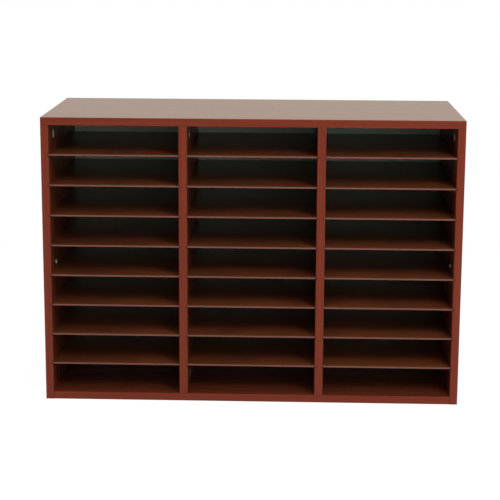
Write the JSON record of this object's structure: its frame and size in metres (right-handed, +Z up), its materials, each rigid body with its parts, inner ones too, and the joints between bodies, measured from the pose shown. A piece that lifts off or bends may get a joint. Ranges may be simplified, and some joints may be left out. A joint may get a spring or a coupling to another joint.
{
  "type": "mail sorter",
  "caption": "Wide open-fronted cabinet with columns of shallow compartments between thin shelves that slide out, for sorting letters and papers.",
  "frame": {"origin": "centre of the footprint on the table, at the underside", "axes": "+Z up, +X to the viewer's right along the width, open front faces -Y"},
  "size_m": [0.745, 0.3, 0.5155],
  "materials": {
    "laminate": "satin mahogany laminate on chipboard",
    "edge_band": "satin mahogany-coloured edge banding",
    "shelf_board": "smooth brown hardboard with a thin lacquer",
    "back_board": "hardboard, pale and smooth inside, raw brown behind",
    "zinc": "zinc-plated",
    "dowel_wood": "plain beech"
  },
  "bodies": {
    "cabinet": {"back_panel": "back_board", "back_screws": "zinc", "bottom_edge_band": "edge_band", "bottom_panel": "laminate", "cam_bolts": "zinc", "cam_locks": "zinc", "dowels": "dowel_wood", "left_divider": "laminate", "left_divider_edge_band": "edge_band", "left_side_edge_band": "edge_band", "left_side_panel": "laminate", "right_divider": "laminate", "right_divider_edge_band": "edge_band", "right_side_edge_band": "edge_band", "right_side_panel": "laminate", "side_screws": "zinc", "top_edge_band": "edge_band", "top_left_end_band": "edge_band", "top_panel": "laminate", "top_right_end_band": "edge_band"},
    "left_shelf_1": {"left_shelf_1": "shelf_board"},
    "left_shelf_2": {"left_shelf_2": "shelf_board"},
    "left_shelf_3": {"left_shelf_3": "shelf_board"},
    "left_shelf_4": {"left_shelf_4": "shelf_board"},
    "left_shelf_5": {"left_shelf_5": "shelf_board"},
    "left_shelf_6": {"left_shelf_6": "shelf_board"},
    "left_shelf_7": {"left_shelf_7": "shelf_board"},
    "left_shelf_8": {"left_shelf_8": "shelf_board"},
    "middle_shelf_1": {"middle_shelf_1": "shelf_board"},
    "middle_shelf_2": {"middle_shelf_2": "shelf_board"},
    "middle_shelf_3": {"middle_shelf_3": "shelf_board"},
    "middle_shelf_4": {"middle_shelf_4": "shelf_board"},
    "middle_shelf_5": {"middle_shelf_5": "shelf_board"},
    "middle_shelf_6": {"middle_shelf_6": "shelf_board"},
    "middle_shelf_7": {"middle_shelf_7": "shelf_board"},
    "middle_shelf_8": {"middle_shelf_8": "shelf_board"},
    "right_shelf_1": {"right_shelf_1": "shelf_board"},
    "right_shelf_2": {"right_shelf_2": "shelf_board"},
    "right_shelf_3": {"right_shelf_3": "shelf_board"},
    "right_shelf_4": {"right_shelf_4": "shelf_board"},
    "right_shelf_5": {"right_shelf_5": "shelf_board"},
    "right_shelf_6": {"right_shelf_6": "shelf_board"},
    "right_shelf_7": {"right_shelf_7": "shelf_board"},
    "right_shelf_8": {"right_shelf_8": "shelf_board"}
  },
  "joints": [
    {"name": "left_shelf_1_slide", "type": "slide", "parent": "cabinet", "child": "left_shelf_1", "axis": [0, -1, 0], "range_m": [0, 0.28]},
    {"name": "left_shelf_2_slide", "type": "slide", "parent": "cabinet", "child": "left_shelf_2", "axis": [0, -1, 0], "range_m": [0, 0.28]},
    {"name": "left_shelf_3_slide", "type": "slide", "parent": "cabinet", "child": "left_shelf_3", "axis": [0, -1, 0], "range_m": [0, 0.28]},
    {"name": "left_shelf_4_slide", "type": "slide", "parent": "cabinet", "child": "left_shelf_4", "axis": [0, -1, 0], "range_m": [0, 0.28]},
    {"name": "left_shelf_5_slide", "type": "slide", "parent": "cabinet", "child": "left_shelf_5", "axis": [0, -1, 0], "range_m": [0, 0.28]},
    {"name": "left_shelf_6_slide", "type": "slide", "parent": "cabinet", "child": "left_shelf_6", "axis": [0, -1, 0], "range_m": [0, 0.28]},
    {"name": "left_shelf_7_slide", "type": "slide", "parent": "cabinet", "child": "left_shelf_7", "axis": [0, -1, 0], "range_m": [0, 0.28]},
    {"name": "left_shelf_8_slide", "type": "slide", "parent": "cabinet", "child": "left_shelf_8", "axis": [0, -1, 0], "range_m": [0, 0.28]},
    {"name": "middle_shelf_1_slide", "type": "slide", "parent": "cabinet", "child": "middle_shelf_1", "axis": [0, -1, 0], "range_m": [0, 0.28]},
    {"name": "middle_shelf_2_slide", "type": "slide", "parent": "cabinet", "child": "middle_shelf_2", "axis": [0, -1, 0], "range_m": [0, 0.28]},
    {"name": "middle_shelf_3_slide", "type": "slide", "parent": "cabinet", "child": "middle_shelf_3", "axis": [0, -1, 0], "range_m": [0, 0.28]},
    {"name": "middle_shelf_4_slide", "type": "slide", "parent": "cabinet", "child": "middle_shelf_4", "axis": [0, -1, 0], "range_m": [0, 0.28]},
    {"name": "middle_shelf_5_slide", "type": "slide", "parent": "cabinet", "child": "middle_shelf_5", "axis": [0, -1, 0], "range_m": [0, 0.28]},
    {"name": "middle_shelf_6_slide", "type": "slide", "parent": "cabinet", "child": "middle_shelf_6", "axis": [0, -1, 0], "range_m": [0, 0.28]},
    {"name": "middle_shelf_7_slide", "type": "slide", "parent": "cabinet", "child": "middle_shelf_7", "axis": [0, -1, 0], "range_m": [0, 0.28]},
    {"name": "middle_shelf_8_slide", "type": "slide", "parent": "cabinet", "child": "middle_shelf_8", "axis": [0, -1, 0], "range_m": [0, 0.28]},
    {"name": "right_shelf_1_slide", "type": "slide", "parent": "cabinet", "child": "right_shelf_1", "axis": [0, -1, 0], "range_m": [0, 0.28]},
    {"name": "right_shelf_2_slide", "type": "slide", "parent": "cabinet", "child": "right_shelf_2", "axis": [0, -1, 0], "range_m": [0, 0.28]},
    {"name": "right_shelf_3_slide", "type": "slide", "parent": "cabinet", "child": "right_shelf_3", "axis": [0, -1, 0], "range_m": [0, 0.28]},
    {"name": "right_shelf_4_slide", "type": "slide", "parent": "cabinet", "child": "right_shelf_4", "axis": [0, -1, 0], "range_m": [0, 0.28]},
    {"name": "right_shelf_5_slide", "type": "slide", "parent": "cabinet", "child": "right_shelf_5", "axis": [0, -1, 0], "range_m": [0, 0.28]},
    {"name": "right_shelf_6_slide", "type": "slide", "parent": "cabinet", "child": "right_shelf_6", "axis": [0, -1, 0], "range_m": [0, 0.28]},
    {"name": "right_shelf_7_slide", "type": "slide", "parent": "cabinet", "child": "right_shelf_7", "axis": [0, -1, 0], "range_m": [0, 0.28]},
    {"name": "right_shelf_8_slide", "type": "slide", "parent": "cabinet", "child": "right_shelf_8", "axis": [0, -1, 0], "range_m": [0, 0.28]}
  ]
}
